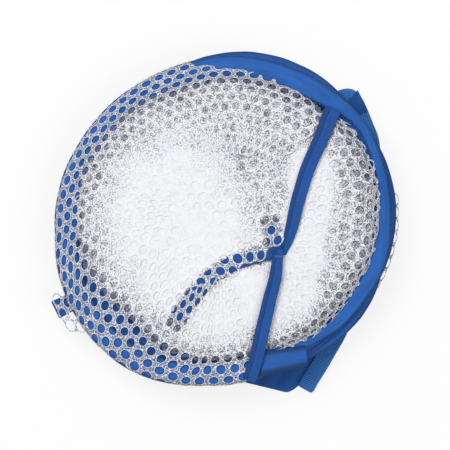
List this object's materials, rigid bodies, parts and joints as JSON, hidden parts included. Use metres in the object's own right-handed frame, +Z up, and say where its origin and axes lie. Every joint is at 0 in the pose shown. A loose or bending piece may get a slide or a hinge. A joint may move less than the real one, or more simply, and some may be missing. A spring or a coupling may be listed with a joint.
{
  "type": "folded pop-up mesh basket",
  "caption": "Pop-up mesh basket twist-folded flat into a disc: coiled spring-wire hoops in blue fabric sleeves, bunched white net, a bound seam with ties, and carrying straps.",
  "frame": {"origin": "under the middle of the folded disc, on the surface that it lies on", "axes": "+Z up out of the disc; +X towards the side where the bound seam's net panel narrows; +Y towards the upper crossing of the hoops"},
  "size_m": [0.2598, 0.2588, 0.0354],
  "materials": {
    "spring_wire": "oiled spring steel",
    "ferrule": "plated, crimped",
    "sleeve_fabric": "smooth woven polyester, soft sheen",
    "hem_fabric": "smooth woven polyester, soft sheen",
    "binding_tape": "woven bias tape with a stitched crease",
    "ribbon": "flat woven ribbon",
    "webbing": "ribbed webbing",
    "net": "knitted polyester net with hexagonal holes",
    "thread": "matt sewing thread"
  },
  "bodies": {
    "lower_lobe": {"front_wire_lower": "spring_wire", "back_wire_lower": "spring_wire", "front_ferrule": "ferrule", "back_ferrule": "ferrule", "front_sleeve_lower": "sleeve_fabric", "back_sleeve_lower": "sleeve_fabric", "base_net": "net", "hem_corner": "hem_fabric", "upper_strap_ends": "webbing", "upper_strap_stitches": "thread", "lower_strap_ends": "webbing", "lower_strap_stitches": "thread"},
    "middle_lobe": {"front_wire_middle": "spring_wire", "back_wire_middle": "spring_wire", "front_sleeve_middle": "sleeve_fabric", "back_sleeve_middle": "sleeve_fabric", "back_net": "net"},
    "top_lobe": {"front_wire_top": "spring_wire", "back_wire_top": "spring_wire", "front_sleeve_top": "sleeve_fabric", "back_sleeve_top": "sleeve_fabric", "left_net": "net", "front_net": "net", "right_net": "net", "seam_tape_upper": "binding_tape", "seam_tape_lower": "binding_tape", "tie_bartack": "thread", "long_tie": "ribbon", "tie_tail": "ribbon", "rim_tie": "ribbon", "sleeve_end_patch": "hem_fabric"},
    "upper_strap_loop": {"upper_strap": "webbing"},
    "lower_strap_loop": {"lower_strap": "webbing"}
  },
  "joints": [
    {"name": "fold_middle", "type": "hinge", "parent": "lower_lobe", "child": "middle_lobe", "pos_m": [0.09157, 0.09157, 0.00965], "axis": [-0.7071, 0.7071, 0], "range_deg": [0, 24]},
    {"name": "fold_top", "type": "hinge", "parent": "middle_lobe", "child": "top_lobe", "pos_m": [0.07101, -0.09424, 0.01945], "axis": [0.7986, 0.6018, 0], "range_deg": [0, 36]},
    {"name": "upper_strap_hinge", "type": "hinge", "parent": "lower_lobe", "child": "upper_strap_loop", "pos_m": [0.10493, 0.07907, 0.0018], "axis": [0.6018, -0.7986, 0], "range_deg": [0, 90]},
    {"name": "lower_strap_hinge", "type": "hinge", "parent": "lower_lobe", "child": "lower_strap_loop", "pos_m": [0.06085, -0.10539, 0.0033], "axis": [-0.866, -0.5, 0], "range_deg": [0, 90]}
  ],
  "couplings": [
    {"joint": "fold_top", "follows": "fold_middle", "ratio": 1.5}
  ]
}
